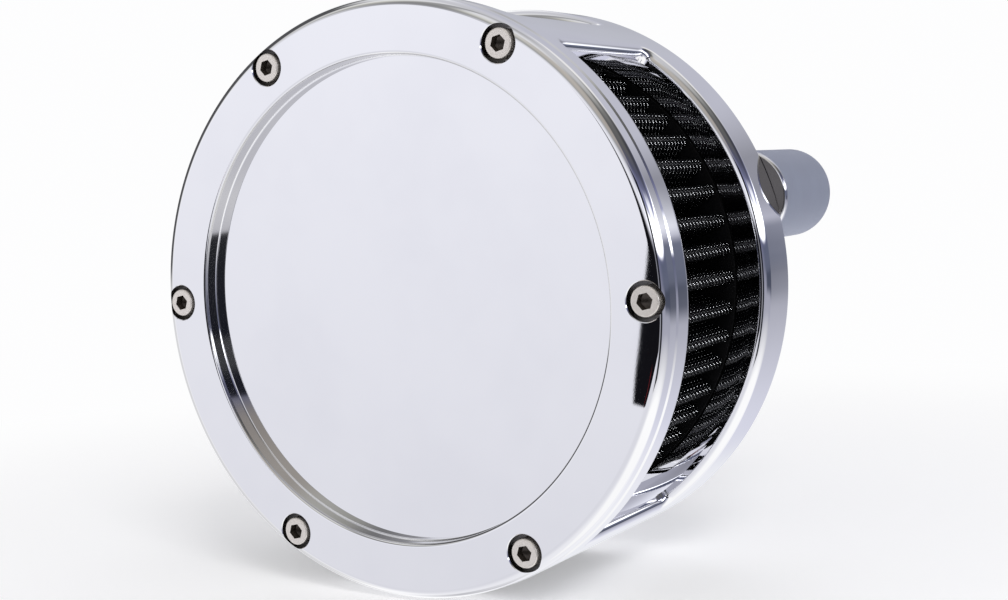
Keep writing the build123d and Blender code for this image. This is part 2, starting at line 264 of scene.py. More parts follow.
def smooth(obj, planes=(), cylinders=(), sharp=30.0):
    """Smooth shading with sharp edges kept, and exact normals on the named planes and cylinders.

    planes are (normal, offset) and cylinders (x, z, radius), about axes along Y.
    """
    mesh = obj.data
    mesh.polygons.foreach_set("use_smooth", [True] * len(mesh.polygons))
    mesh.set_sharp_from_angle(angle=math.radians(sharp))
    normals = read(mesh.corner_normals, "vector", 3)
    points = (read(mesh.vertices, "co", 3) / MM)[read(mesh.loops, "vertex_index", 1, np.int32)]
    corners_per_face = read(mesh.polygons, "loop_total", 1, np.int32)
    face_normals = np.repeat(read(mesh.polygons, "normal", 3), corners_per_face, axis=0)
    on_surface, aligned = 0.004, math.cos(math.radians(9))

    def snap(away, ways):
        """Corners no distance away get the direction of ways, if their face looks along or against it."""
        for sign in (1, -1):
            hit = (np.abs(away) < on_surface) & ((face_normals * ways).sum(1) * sign > aligned)
            normals[hit] = ways[hit] * sign

    for x, z, radius in cylinders:
        rel = points - (x, 0, z)
        rel[:, 1] = 0
        length = np.maximum(np.linalg.norm(rel, axis=1), 1e-9)
        snap(length - radius, rel / length[:, None])
    for normal, offset in planes:
        normal = np.array(normal, float)
        snap(points @ normal - offset, np.broadcast_to(normal, points.shape))
    mesh.normals_split_custom_set(normals)


def flat(y):
    """A plane across the axis, for smooth()."""
    return ((0, 1, 0), y)


def mark_painted_shade(obj, shade_mask):
    """Stores how much painted shade each face gets, for darkening it in hollows and where parts meet, as the
    given mask says for the faces' centres.
    """
    mesh = obj.data
    values = np.asarray(shade_mask(read(mesh.polygons, "center", 3) / MM), np.float32)
    mesh.attributes.new("recess", "FLOAT", "FACE").data.foreach_set("value", values)


def near_places(points, places, radius):
    """True for points less than radius away from the nearest of the axes at places."""
    away = [np.hypot(points[:, 0] - x, points[:, 2] - z) for x, z in places]
    return np.min(away, axis=0) < radius


def finish_piece(obj, node):
    """Puts the piece in the place of its CAD node, on the node's body and in its slot's material."""
    obj.data.materials.clear()
    obj.data.materials.append(MATERIALS[SLOTS[node]])
    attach(obj, BODIES[node])
    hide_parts(node)


# -------- node helpers
def is_socket(value):
    return isinstance(value, bpy.types.NodeSocket)


class Nodes:
    """A small writer for shader node trees. Values are sockets or plain numbers."""

    def __init__(self, tree):
        self.tree = tree
        tree.nodes.clear()

    def add(self, kind, inputs=None, **settings):
        """A new node with the given settings, its inputs fed by name or number."""
        node = self.tree.nodes.new(kind)
        for key, value in settings.items():
            setattr(node, key, value)
        for key, value in (inputs or {}).items():
            self.feed(node.inputs[key], value)
        return node

    def feed(self, socket, value):
        if is_socket(value):
            self.tree.links.new(value, socket)
        else:
            socket.default_value = value

    def math(self, op, *values):
        return self.add("ShaderNodeMath", dict(enumerate(values)), operation=op).outputs[0]

    def plus(self, a, b):
        return self.math("ADD", a, b)

    def minus(self, a, b):
        return self.math("SUBTRACT", a, b)

    def times(self, first, *others):
        for other in others:
            first = self.math("MULTIPLY", first, other)
        return first

    def length(self, a, b):
        return self.math("SQRT", self.plus(self.times(a, a), self.times(b, b)))

    def ramp(self, value, lo, hi, to_lo=0.0, to_hi=1.0, shape="SMOOTHSTEP"):
        inputs = dict(enumerate((value, lo, hi, to_lo, to_hi)))
        return self.add("ShaderNodeMapRange", inputs, interpolation_type=shape, clamp=True).outputs[0]

    def mix(self, factor, a, b):
        """Colour a where the factor is 0, b where it is 1."""
        a, b = (value if is_socket(value) else (*value, 1.0) for value in (a, b))
        return self.add("ShaderNodeMix", {0: factor, 6: a, 7: b}, data_type="RGBA").outputs[2]

    def blend(self, factor, a, b):
        """Number a where the factor is 0, b where it is 1."""
        return self.add("ShaderNodeMix", {0: factor, 2: a, 3: b}, data_type="FLOAT").outputs[0]

    def noise(self, vector, scale, detail=2.0, rough=0.5):
        inputs = {"Vector": vector, "Scale": scale, "Detail": detail, "Roughness": rough}
        return self.add("ShaderNodeTexNoise", inputs).outputs[0]

    def bump(self, height, depth, strength, normal=None):
        """A normal for the given height, where a height of 1 stands for depth mm."""
        inputs = {"Height": height, "Distance": depth * MM, "Strength": strength}
        if normal is not None:
            inputs["Normal"] = normal
        return self.add("ShaderNodeBump", inputs).outputs[0]

    def vector(self, op, *values):
        return self.add("ShaderNodeVectorMath", dict(enumerate(values)), operation=op).outputs[0]

    def scaled(self, vector, by):
        return self.add("ShaderNodeVectorMath", {0: vector, "Scale": by}, operation="SCALE").outputs[0]

    def split(self, vector):
        return self.add("ShaderNodeSeparateXYZ", {0: vector}).outputs

    def layered(self, factor, under, over):
        return self.add("ShaderNodeMixShader", {0: factor, 1: under, 2: over}).outputs[0]

    def summed(self, a, b):
        return self.add("ShaderNodeAddShader", {0: a, 1: b}).outputs[0]

    def glow(self, color, strength):
        return self.add("ShaderNodeEmission", {0: (*color, 1.0), 1: strength}).outputs[0]

    # painted shade: how dark a face is painted, read from the mesh attribute recess
    def recess(self):
        return self.add("ShaderNodeAttribute", attribute_name="recess").outputs["Fac"]

    def position(self):
        """Place on the object in mm."""
        return self.scaled(self.add("ShaderNodeTexCoord").outputs["Object"], 1 / MM)


def material(name, build):
    mat = bpy.data.materials.new(name)
    mat.use_nodes = True
    nodes = Nodes(mat.node_tree)
    nodes.add("ShaderNodeOutputMaterial", {0: build(nodes)})
    return mat


def principled(nodes, color, rough, metal=0.0, **extra):
    """The standard surface; extra inputs are named with underscores for spaces."""
    inputs = {"Base Color": color, "Roughness": rough, "Metallic": metal}
    inputs |= {key.replace("_", " "): value for key, value in extra.items()}
    return nodes.add("ShaderNodeBsdfPrincipled", inputs).outputs[0]


# -------- materials
def polished(nodes):
    """Polished bright metal: faint buffing lines, a trace of haze in patches and slow waviness."""
    place = nodes.position()
    wave = nodes.noise(place, 0.055, 1.0)
    stretched = nodes.add("ShaderNodeMapping", {"Vector": place, "Scale": (0.9, 5.0, 0.9)}).outputs[0]
    lines = nodes.noise(stretched, 3.0, 3.0, 0.65)
    haze = nodes.ramp(nodes.noise(place, 0.03, 3.0, 0.6), 0.35, 0.75)
    recess = nodes.recess()
    tint = nodes.mix(haze, (0.955, 0.955, 0.97), (0.925, 0.925, 0.945))
    # painted shade: marked faces are darkened to near black; they are also rougher, as machined
    tint = nodes.mix(recess, tint, (0.075, 0.066, 0.058))
    rough = nodes.plus(nodes.times(haze, 0.01), nodes.times(lines, 0.008))
    rough = nodes.plus(rough, nodes.times(recess, 0.22))
    normal = nodes.bump(lines, 0.0006, 0.4, nodes.bump(wave, 0.012, 0.6))
    return principled(nodes, tint, rough, 1.0, Normal=normal)


def turned(color, rough_lo, rough_hi, pitch, depth, metal=1.0):
    """Turned metal with fine rings about the part's axis, plus grain."""

    def build(nodes):
        place = nodes.position()
        x, y, z = nodes.split(place)
        rings = nodes.math("SINE", nodes.times(nodes.plus(nodes.length(x, z), y), TAU / pitch))
        grain = nodes.noise(place, 2.2, 4.0, 0.7)
        rough = nodes.plus(rough_lo, nodes.times(grain, rough_hi - rough_lo))
        tone = nodes.mix(nodes.ramp(grain, 0.3, 0.7), color, tuple(c * 0.86 for c in color))
        # painted shade: marked faces are darkened to near black
        tone = nodes.mix(nodes.recess(), tone, (0.085, 0.070, 0.058))
        normal = nodes.bump(nodes.plus(rings, grain), depth, 0.5)
        return principled(nodes, tone, rough, metal, Normal=normal)

    return build


def blasted(nodes):
    """Bead-blasted, clear anodised aluminium: a matte, fine-pitted satin, paler towards its outline where a
    rim light is painted into the colour.
    """
    place = nodes.position()
    fine = nodes.noise(place, 7.0, 4.0, 0.7)
    broad = nodes.ramp(nodes.noise(place, 0.12, 2.0), 0.3, 0.7)
    rough = nodes.plus(0.58, nodes.times(fine, 0.14))
    tone = nodes.mix(broad, (0.262, 0.286, 0.364), (0.246, 0.267, 0.341))
    # painted rim light: the colour turns paler where the surface is seen edge-on
    rim = nodes.add("ShaderNodeLayerWeight", {"Blend": 0.5}).outputs["Facing"]
    tone = nodes.mix(nodes.ramp(rim, 0.5, 0.95), tone, (0.40, 0.425, 0.52))
    return principled(nodes, tone, rough, 0.35, Normal=nodes.bump(fine, 0.03, 0.6))


def rubber(color, rough, shine=0.5):
    """Satin rubber with a fine grain and a little dust."""

    def build(nodes):
        place = nodes.position()
        fine = nodes.noise(place, 3.0, 4.0, 0.6)
        dust = nodes.ramp(nodes.noise(place, 0.25, 4.0, 0.7), 0.5, 0.85)
        tone = nodes.mix(dust, color, tuple(c * 1.6 + 0.001 for c in color))
        grainy = nodes.plus(rough, nodes.times(fine, 0.18))
        return principled(nodes, tone, grainy, Normal=nodes.bump(fine, 0.05, 0.5), Specular_IOR_Level=shine)

    return build


def weave_coordinates(nodes, pitch):
    """Place across and along the wires that run along the sheet's length, in pitches."""
    u, v, _ = nodes.split(nodes.add("ShaderNodeUVMap", uv_map="sheet").outputs[0])
    return nodes.math("DIVIDE", u, pitch), nodes.math("DIVIDE", v, pitch)


def wire_set(nodes, across, along, sign):
    """One set of woven wires: each wire's number, swing and round surface, with heights in pitches."""
    row = nodes.math("FLOOR", across)
    offset = nodes.math("DIVIDE", nodes.minus(nodes.math("FRACT", across), 0.5), WIRE_HALF)
    inside = nodes.minus(1.0, nodes.times(offset, offset))
    rise = nodes.math("SQRT", nodes.math("MAXIMUM", inside, 0.0))
    phase = nodes.times(nodes.plus(along, row), math.pi)
    swing = nodes.math("SINE", phase)
    slope = nodes.times(nodes.math("COSINE", phase), -WIRE_LIFT * sign * math.pi)
    here = nodes.math("GREATER_THAN", inside, 0.0)
    height = nodes.plus(nodes.times(rise, WIRE_HALF), nodes.times(swing, WIRE_LIFT * sign))
    height = nodes.minus(height, nodes.times(nodes.minus(1.0, here), 2.0))
    surface = {"offset": offset, "rise": rise, "slope": slope, "here": here, "height": height}
    return SimpleNamespace(row=row, swing=swing, **surface)


def wire_normal(nodes, warp, weft, top):
    """Normal of the round wire that lies on top."""
    out = nodes.add("ShaderNodeNewGeometry").outputs["Normal"]
    u_way = nodes.add("ShaderNodeTangent", direction_type="UV_MAP", uv_map="sheet").outputs[0]
    v_way = nodes.vector("CROSS_PRODUCT", out, u_way)
    side_u = nodes.blend(top, warp.offset, weft.slope)
    side_v = nodes.blend(top, warp.slope, weft.offset)
    rise = nodes.math("MAXIMUM", nodes.blend(top, warp.rise, weft.rise), 0.05)
    normal = nodes.vector("ADD", nodes.scaled(u_way, side_u), nodes.scaled(v_way, side_v))
    return nodes.vector("NORMALIZE", nodes.vector("ADD", normal, nodes.scaled(out, rise)))


def wire_glints(nodes, place, radius, normal, warp, top):
    """Painted glints: emission on the wire crests that stands in for highlights of the strip light, which is
    far brighter than the world shows it.
    """
    seen = nodes.add("ShaderNodeNewGeometry").outputs["Incoming"]
    mx, _, mz = nodes.split(nodes.vector("REFLECT", nodes.scaled(seen, -1.0), normal))
    level = nodes.times(nodes.ramp(mz, -0.05, 0.12), nodes.ramp(mz, 0.34, 0.52, 1.0, 0.0))
    aimed = nodes.times(level, nodes.ramp(mx, 0.35, 0.7))
    # the crests of every other wire catch most of it, and more so on the tips of the folds
    odd = nodes.math("FRACT", nodes.times(warp.row, 0.5))
    share = nodes.minus(1.0, nodes.times(odd, 1.8))
    crest = nodes.times(nodes.ramp(warp.swing, 0.45, 0.92), nodes.minus(1.0, top), share)
    reach = nodes.plus(nodes.times(nodes.ramp(radius, 64.5, 68.8), 6.2), 0.55)
    uneven = nodes.ramp(nodes.noise(place, 1.1, 2.0, 0.6), 0.3, 0.65, 0.35, 1.3)
    # they are duller where the ledge mirrors them
    straight = nodes.add("ShaderNodeLightPath").outputs["Is Camera Ray"]
    strength = nodes.times(aimed, reach, crest, nodes.blend(straight, 0.4, 1.0), uneven)
    return nodes.glow((0.93, 0.96, 1.0), strength)


def wire_mesh(nodes):
    """Black coated plain-weave wire cloth with round wires; the openings are clear."""
    across, along = weave_coordinates(nodes, MESH_PITCH)
    warp = wire_set(nodes, across, along, 1)
    weft = wire_set(nodes, along, across, -1)
    top = nodes.math("GREATER_THAN", weft.height, warp.height)
    normal = wire_normal(nodes, warp, weft, top)
    place = nodes.position()
    x, _, z = nodes.split(place)
    radius = nodes.length(x, z)
    wear = nodes.ramp(nodes.noise(place, 0.9, 3.0, 0.7), 0.45, 0.8)
    tone = nodes.mix(wear, (0.005, 0.005, 0.007), (0.014, 0.0145, 0.018))
    rough = nodes.blend(wear, 0.16, 0.26)
    coated = principled(nodes, tone, rough, Normal=normal, Specular_IOR_Level=0.4)
    # down in the folds the wires fade to a black diffuse: painted shade
    shaded_wire = nodes.add("ShaderNodeBsdfDiffuse", {0: (0.004, 0.004, 0.005, 1.0)}).outputs[0]
    unshaded_share = nodes.plus(nodes.times(nodes.ramp(radius, 65, 69), 0.5), 0.06)
    glints = wire_glints(nodes, place, radius, normal, warp, top)
    wire = nodes.summed(nodes.layered(unshaded_share, shaded_wire, coated), glints)
    gap = nodes.add("ShaderNodeBsdfTransparent").outputs[0]
    return nodes.layered(nodes.math("MAXIMUM", warp.here, weft.here), gap, wire)


def gauze(nodes):
    """Oiled black cotton gauze with a fine square weave."""
    across, along = weave_coordinates(nodes, GAUZE_PITCH)
    warp, weft = (nodes.math("SINE", nodes.times(way, TAU)) for way in (across, along))
    fuzz = nodes.noise(nodes.position(), 5.0, 3.0, 0.7)
    tone = nodes.mix(fuzz, (0.003, 0.003, 0.004), (0.010, 0.0105, 0.012))
    normal = nodes.bump(nodes.plus(nodes.plus(warp, weft), fuzz), 0.1, 0.8)
    return principled(nodes, tone, 0.8, Normal=normal, Specular_IOR_Level=0.15)


def fibre(nodes):
    """Pressed grey fibre sheet."""
    fine = nodes.noise(nodes.position(), 4.0, 5.0, 0.75)
    tone = nodes.mix(fine, (0.03, 0.033, 0.035), (0.075, 0.08, 0.085))
    return principled(nodes, tone, 0.7, Normal=nodes.bump(fine, 0.08, 0.6))


LOOKS = {
    "polished_metal": polished,
    "stainless": turned((0.84, 0.79, 0.74), 0.2, 0.3, 0.35, 0.0015, 0.55),
    "machined_aluminium": turned((0.78, 0.78, 0.80), 0.18, 0.3, 0.28, 0.006),
    "zinc_steel": turned((0.6, 0.6, 0.58), 0.3, 0.45, 0.5, 0.004),
    "copper_washer": turned((0.72, 0.40, 0.27), 0.3, 0.45, 0.4, 0.005),
    "anodised_aluminium": blasted,
    "urethane": rubber((0.0025, 0.0025, 0.003), 0.55, 0.2),
    "seal_rubber": rubber((0.02, 0.02, 0.02), 0.42),
    "black_mesh": wire_mesh,
    "cotton_gauze": gauze,
    "gasket_fibre": fibre,
}
MATERIALS = {slot: material(slot, build) for slot, build in LOOKS.items()}


# -------- housing
WALL_STEPS, CORNER_STEPS, END_STEPS = 24, 10, 144  # of a window's outline
FRONT_COUNT = 2 * WALL_STEPS + 2 * CORNER_STEPS + END_STEPS + 1
WALL_TOP = WINDOW_BACK - WINDOW_CORNER  # where the window's rear corners begin
SKIN_TOP, SKIN_BOTTOM = SEAM_Y + EDGE_BREAK, BACK_Y - EDGE_BREAK
WEB_ANGLES = np.linspace(WINDOW_HALF, SECTOR_HALF, 10)
OPEN_ANGLES = np.linspace(-WINDOW_HALF, WINDOW_HALF, END_STEPS + 1)
GRID = np.concatenate([-WEB_ANGLES[::-1], OPEN_ANGLES[1:-1], WEB_ANGLES])


def window_outline(r, d):
    """The window's outline at radius r, moved outwards by d, as a closed loop of (angle, y).

    The first FRONT_COUNT points run from one rear corner over the front to the other; the rest is the rear.
    """
    round_r = WINDOW_CORNER + d
    wall, span = WINDOW_HALF + d / r, WINDOW_HALF - WINDOW_CORNER / r
    front_y, quarter = WINDOW_FRONT + WINDOW_CORNER, math.pi / 2

    def between(a, b, steps):
        return [a + (b - a) * k / steps for k in range(1, steps)]

    def corner(sign, y, start, end):
        angles = [start, *between(start, end, CORNER_STEPS), end]
        return [(sign * (span + round_r * math.cos(a) / r), y + round_r * math.sin(a)) for a in angles]

    points = [(wall, WALL_TOP)] + [(wall, y) for y in between(WALL_TOP, front_y, WALL_STEPS)]
    points += corner(1, front_y, 0, -quarter)
    points += [(a, WINDOW_FRONT - d) for a in between(span, -span, END_STEPS)]
    points += corner(-1, front_y, -quarter, 0)
    points += [(-wall, y) for y in between(front_y, WALL_TOP, WALL_STEPS)]
    points += corner(-1, WALL_TOP, 0, quarter)
    points += [(a, WINDOW_BACK + d) for a in between(-span, span, END_STEPS)]
    return points + corner(1, WALL_TOP, quarter, 0)[:-1]


def in_window(angle, y, r, d):
    """True where a point of the cylinder of radius r lies inside the window's outline."""
    sx = WINDOW_HALF * r + d - abs(angle) * r
    sy = min(y - (WINDOW_FRONT - d), (WINDOW_BACK + d) - y)
    round_r = WINDOW_CORNER + d
    if sx <= 0 or sy <= 0:
        return False
    if sx >= round_r or sy >= round_r:
        return True
    return math.hypot(round_r - sx, round_r - sy) < round_r


def sheet_on_cylinder(r, loops, inner, drop):
    """Triangles on the cylinder of radius r over loops and inner points (angle, y), unless drop is true."""
    points, edges = [], []
    for loop in loops:
        base = len(points)
        points += [Vector((a * r, y)) for a, y in loop]
        edges += [(base + k, base + (k + 1) % len(loop)) for k in range(len(loop))]
    points += [Vector((a * r, y)) for a, y in inner]
    out = delaunay_2d_cdt(points, edges, [], 0, 1e-6)
    verts = [(r, v.x / r, v.y) for v in out[0]]
    middles = [np.mean([verts[i] for i in tri], axis=0) for tri in out[2]]
    return verts, [tuple(tri) for tri, (_, a, y) in zip(out[2], middles) if not drop(a, y)]


def strip(rows):
    """Quads between rows of equal length; each row is a list of (radius, angle, y)."""
    n = len(rows[0])
    faces = []
    for low in range(0, (len(rows) - 1) * n, n):
        faces += [(low + k, low + k + 1, low + n + k + 1, low + n + k) for k in range(n - 1)]
    return [point for row in rows for point in row], faces


def ledge_y(r):
    """The crowned ledge at radius r."""
    return LEDGE_Y + LEDGE_CROWN - math.sqrt(LEDGE_CROWN**2 - (r - BORE_R) ** 2)


LEDGE_ROWS = [(r, ledge_y(r)) for r in np.linspace(POCKET_R, BORE_R, 17)]


def outer_skin():
    """The housing's outside round the window."""
    ys = np.linspace(SKIN_TOP, SKIN_BOTTOM, 25)
    edge = [(a, SKIN_TOP) for a in GRID] + [(SECTOR_HALF, y) for y in ys[1:-1]]
    edge += [(a, SKIN_BOTTOM) for a in GRID[::-1]] + [(-SECTOR_HALF, y) for y in ys[-2:0:-1]]
    free = EDGE_ROUND + 0.6
    inner = [(a, y) for a in GRID[1:-1] for y in ys[1:-1] if not in_window(a, y, OUTER_R, free)]
    loops = [edge, window_outline(OUTER_R, EDGE_ROUND)]
    return sheet_on_cylinder(OUTER_R, loops, inner, lambda a, y: in_window(a, y, OUTER_R, EDGE_ROUND))


def window_walls():
    """The window's rounded edge and walls down to the pocket, and on to the bore at the front and sides."""
    steps = 14
    levels = []
    for k in range(steps + 1):
        a = math.pi / 2 * k / steps
        r = OUTER_R - EDGE_ROUND * (1 - math.cos(a))
        levels.append((r, window_outline(r, EDGE_ROUND * (1 - math.sin(a)))))
    levels.append((POCKET_R, window_outline(POCKET_R, 0)))
    rim = strip([[(r, a, y) for a, y in loop + loop[:1]] for r, loop in levels])
    deep = strip([[(r, a, y) for a, y in window_outline(r, 0)[:FRONT_COUNT]] for r in (POCKET_R, BORE_R)])
    return joined([rim, deep])


def pocket():
    """The pocket's outer wall, with the window's rear corners, and its two side walls."""
    foot = ledge_y(POCKET_R)
    ys = np.linspace(WALL_TOP, foot, 9)
    loop = window_outline(POCKET_R, 0)
    edge = loop[FRONT_COUNT - 1 :] + loop[:1] + [(WINDOW_HALF, y) for y in ys[1:-1]]
    edge += [(a, foot) for a in OPEN_ANGLES[::-1]] + [(-WINDOW_HALF, y) for y in ys[-2:0:-1]]
    inner = [(a, y) for a in OPEN_ANGLES[1:-1] for y in np.linspace(WINDOW_BACK, foot, 5)[1:-1]]

    def opening(a, y):
        return in_window(a, y, POCKET_R, 0) or y < WALL_TOP

    wall = sheet_on_cylinder(POCKET_R, [edge], inner, opening)
    sides = []
    for a in (WINDOW_HALF, -WINDOW_HALF):
        sides.append(strip([[(r, a, y) for y in np.linspace(WALL_TOP, end, 9)] for r, end in LEDGE_ROWS]))
    return joined([wall, *sides])


def bore():
    """The inside of the front ring and the inner faces of the webs."""
    ys = np.linspace(SEAM_Y, LEDGE_Y, 25)
    side_ys = np.linspace(WALL_TOP, LEDGE_Y, 9)
    edge = [(a, SEAM_Y) for a in GRID] + [(SECTOR_HALF, y) for y in ys[1:-1]]
    edge += [(a, LEDGE_Y) for a in WEB_ANGLES[:0:-1]] + [(WINDOW_HALF, y) for y in side_ys[:0:-1]]
    edge += window_outline(BORE_R, 0)[:FRONT_COUNT]
    edge += [(-WINDOW_HALF, y) for y in side_ys[1:]] + [(-a, LEDGE_Y) for a in WEB_ANGLES[1:]]
    edge += [(-SECTOR_HALF, y) for y in ys[-2:0:-1]]
    web, ring = WINDOW_HALF + 0.004, WINDOW_FRONT - 0.5
    inner = [(a, y) for a in GRID[1:-1] for y in ys[1:-1] if abs(a) > web or y < ring]

    def opening(a, y):
        return in_window(a, y, BORE_R, 0) or (y > WALL_TOP and abs(a) < WINDOW_HALF)

    return sheet_on_cylinder(BORE_R, [edge], inner, opening)


def turned_bands():
    """The front face, the ledge in the window, and the floor and the back as far as its rim."""
    front = [(OUTER_R, SKIN_TOP), (OUTER_R - EDGE_BREAK, SEAM_Y), (BORE_R, SEAM_Y)]
    lip = 0.2
    back = [(BORE_R, LEDGE_Y), (SEAT_R + lip, LEDGE_Y), (SEAT_R, LEDGE_Y + lip), (SEAT_R, SEAT_Y)]
    back += [(THROTTLE_R, SEAT_Y), (THROTTLE_R, BACK_Y - GASKET)]
    back += [(GASKET_SEAT_R, BACK_Y - GASKET), (GASKET_SEAT_R, BACK_Y), (RELIEF_IN, BACK_Y)]
    turn_y = BACK_Y - RELIEF_DEPTH + RELIEF_ROUND
    back += arc(RELIEF_IN + RELIEF_ROUND, turn_y, RELIEF_ROUND, 180, 270, 4)
    back += arc(RELIEF_OUT - RELIEF_ROUND, turn_y, RELIEF_ROUND, 270, 360, 4)
    back += [(RELIEF_OUT, BACK_Y), (OUTER_R - EDGE_BREAK, BACK_Y), (OUTER_R, SKIN_BOTTOM)]
    bands = ((front, GRID), (LEDGE_ROWS, OPEN_ANGLES), (back, GRID))
    return joined([strip([[(r, a, y) for a in angles] for r, y in rows]) for rows, angles in bands])


def breather_tools(centre):
    """A standoff's socket, the vent hole behind it, and the groove from there to the element's inside."""
    wide = SOCKET_R + SOCKET_CHAMFER
    socket = [(0, BACK_Y - SOCKET_DEPTH), (SOCKET_R, BACK_Y - SOCKET_DEPTH)]
    socket += [(SOCKET_R, BACK_Y - SOCKET_CHAMFER), (wide, BACK_Y), (wide, BACK_Y + 2), (0, BACK_Y + 2)]
    turn = math.atan2(centre[1], centre[0])
    cs, sn = math.cos(turn), math.sin(turn)
    vent = hole(VENT_R + 0.01, SEAT_Y - 2, BACK_Y - 3, 32, (VENT_PCR * cs, VENT_PCR * sn))
    outline = arc(VENT_PCR, 0, VENT_R, -90, 90, 12) + arc(VENT_GROOVE_END, 0, VENT_R, 90, 270, 12)
    outline = [(u * cs - v * sn, u * sn + v * cs) for u, v in outline]
    return spin(socket, 96, centre), vent, prism(outline, SEAT_Y - 2, SEAT_Y + VENT_GROOVE)


def build_housing():
    """The cage out of three equal sectors, with its holes cut in."""
    sector, faces = joined([outer_skin(), window_walls(), pocket(), bore(), turned_bands()])
    thirds = []
    for turn in (0, TAU / 3, TAU / 3 * 2):
        thirds.append(([(r * math.cos(a + turn), y, r * math.sin(a + turn)) for r, a, y in sector], faces))
    obj = make_object("housing_fine", *joined(thirds))
    wide = TAP_R + 0.5
    tap = [(0, SEAM_Y - 2), (wide, SEAM_Y - 2), (wide, SEAM_Y), (TAP_R, SEAM_Y + 0.5)]
    tap += [(TAP_R, SEAM_Y + TAP_DEPTH), (0, SEAM_Y + TAP_DEPTH + 1.2)]
    taps = [spin(tap, 48, c) for c in COVER_SCREWS]
    through = [hole(THROTTLE_CLEAR_R, SEAT_Y - 2, BACK_Y + 2, 64, c) for c in THROTTLE_SCREWS]
    breathers = zip(*[breather_tools(c) for c in STANDOFFS.values()])
    cut(obj, [merged_tool(tools) for tools in (taps, through, *breathers)])
    planes = [flat(y) for y in (SEAM_Y, WINDOW_FRONT, WINDOW_BACK, LEDGE_Y, SEAT_Y, SEAT_Y + VENT_GROOVE)]
    planes += [flat(BACK_Y - depth) for depth in (SOCKET_DEPTH, RELIEF_DEPTH, GASKET, 0)]
    for k in range(3):
        for half in (WINDOW_HALF, -WINDOW_HALF):
            a = TAU / 3 * k + half
            planes.append(((-math.sin(a), 0, math.cos(a)), 0.0))
    radii = (OUTER_R, POCKET_R, BORE_R, SEAT_R, THROTTLE_R, GASKET_SEAT_R, RELIEF_IN, RELIEF_OUT)
    smooth(obj, planes, [(0, 0, r) for r in radii])
    finish_piece(obj, "housing")


build_housing()


# -------- cover
def build_cover():
    """The cover plate with its recess, its pilot and the six counterbored holes."""
    floor, deep, rim = FRONT_Y + RECESS_DEPTH, FRONT_Y + COUNTERBORE_DEPTH, FRONT_Y + COUNTERBORE_BREAK
    inner = 30  # a ring of points that keeps the flat faces' triangles short
    rows = [(0, floor), (inner, floor)] + arc(RECESS_R - 0.4, floor - 0.4, 0.4, 90, 0, 5)
    rows += arc(RECESS_R + RECESS_LIP, FRONT_Y + RECESS_LIP, RECESS_LIP, 180, 270, 12)
    rows += arc(COVER_R - EDGE_ROUND, FRONT_Y + EDGE_ROUND, EDGE_ROUND, 270, 360, 24)
    rows += [(COVER_R, SEAM_Y - 0.3), (COVER_R - 0.3, SEAM_Y), (PILOT_R, SEAM_Y), (PILOT_R, PILOT_Y - 0.4)]
    rows += [(PILOT_R - 0.4, PILOT_Y), (inner, PILOT_Y), (0, PILOT_Y)]
    obj = make_object("cover_fine", *spin(rows, COVER_SEGMENTS))
    counterbore = [(0, FRONT_Y - 3), (COUNTERBORE_R + 3.2, FRONT_Y - 3), (COUNTERBORE_R, rim)]
    counterbore += [(COUNTERBORE_R, deep), (0, deep)]
    bores = [spin(counterbore, 96, c) for c in COVER_SCREWS]
    holes = [hole(SCREW_CLEAR_R, deep - 1, PILOT_Y + 3, 64, c) for c in COVER_SCREWS]
    cut(obj, [merged_tool(bores), merged_tool(holes)])
    cylinders = [(0, 0, r) for r in (COVER_R, RECESS_R, PILOT_R)]
    cylinders += [(*c, r) for c in COVER_SCREWS for r in (COUNTERBORE_R, SCREW_CLEAR_R)]
    smooth(obj, [flat(y) for y in (floor, FRONT_Y, SEAM_Y, PILOT_Y, deep)], cylinders)

    def painted_shade_spots(p):
        """Painted shade in the counterbores, and lighter painted shade on the narrow band where the recess's
        lip begins.
        """
        in_bore = near_places(p, COVER_SCREWS, COUNTERBORE_R + 0.02) & (p[:, 1] > rim)
        from_lip = np.hypot(p[:, 0], p[:, 2]) - RECESS_R
        on_lip = (np.abs(from_lip - 0.12) < 0.13) & (p[:, 1] < floor - 0.2)
        return np.where(in_bore, 0.8, np.where(on_lip, 0.35, 0.0))

    mark_painted_shade(obj, painted_shade_spots)
    finish_piece(obj, "cover")


build_cover()


# -------- screws
def thread_rows(r, pitch, y0, y1, segments):
    """Rows of a right-hand thread along Y, faded in and out over one pitch."""
    per_turn = 8
    depth = 0.55 * pitch
    turns = np.arange(segments) / segments
    count = int(round((y1 - y0) / pitch * per_turn))
    rows = []
    for k in range(count + 1):
        y = y0 + (y1 - y0) * k / count
        phase = (y - y0) / pitch - turns
        ridge = np.clip(np.abs((phase % 1.0) * 2 - 1) * 1.25 - 0.1, 0, 1)
        fade = min(1.0, (y - y0) / pitch, (y1 - y) / pitch + 0.15)
        rows.append((r - depth * (ridge * fade + (1 - fade) * 0.55), y))
    return rows


def hexagon(centre, flats, y0, y1):
    """The tool for a hexagonal socket with a cone at its bottom."""
    corner = flats / 2 / math.cos(math.pi / 6)
    angles = np.radians(np.arange(6) * 60 + 12)
    corners = [(centre[0] + corner * math.cos(a), centre[1] + corner * math.sin(a)) for a in angles]
    verts = [(x, y, z) for y in (y0, y1) for x, z in corners] + [(centre[0], y1 + flats / 4, centre[1])]
    return verts, [tuple(range(6)), *band(0, 6, 6), *[(6 + k, 6 + (k + 1) % 6, 12) for k in range(6)]]


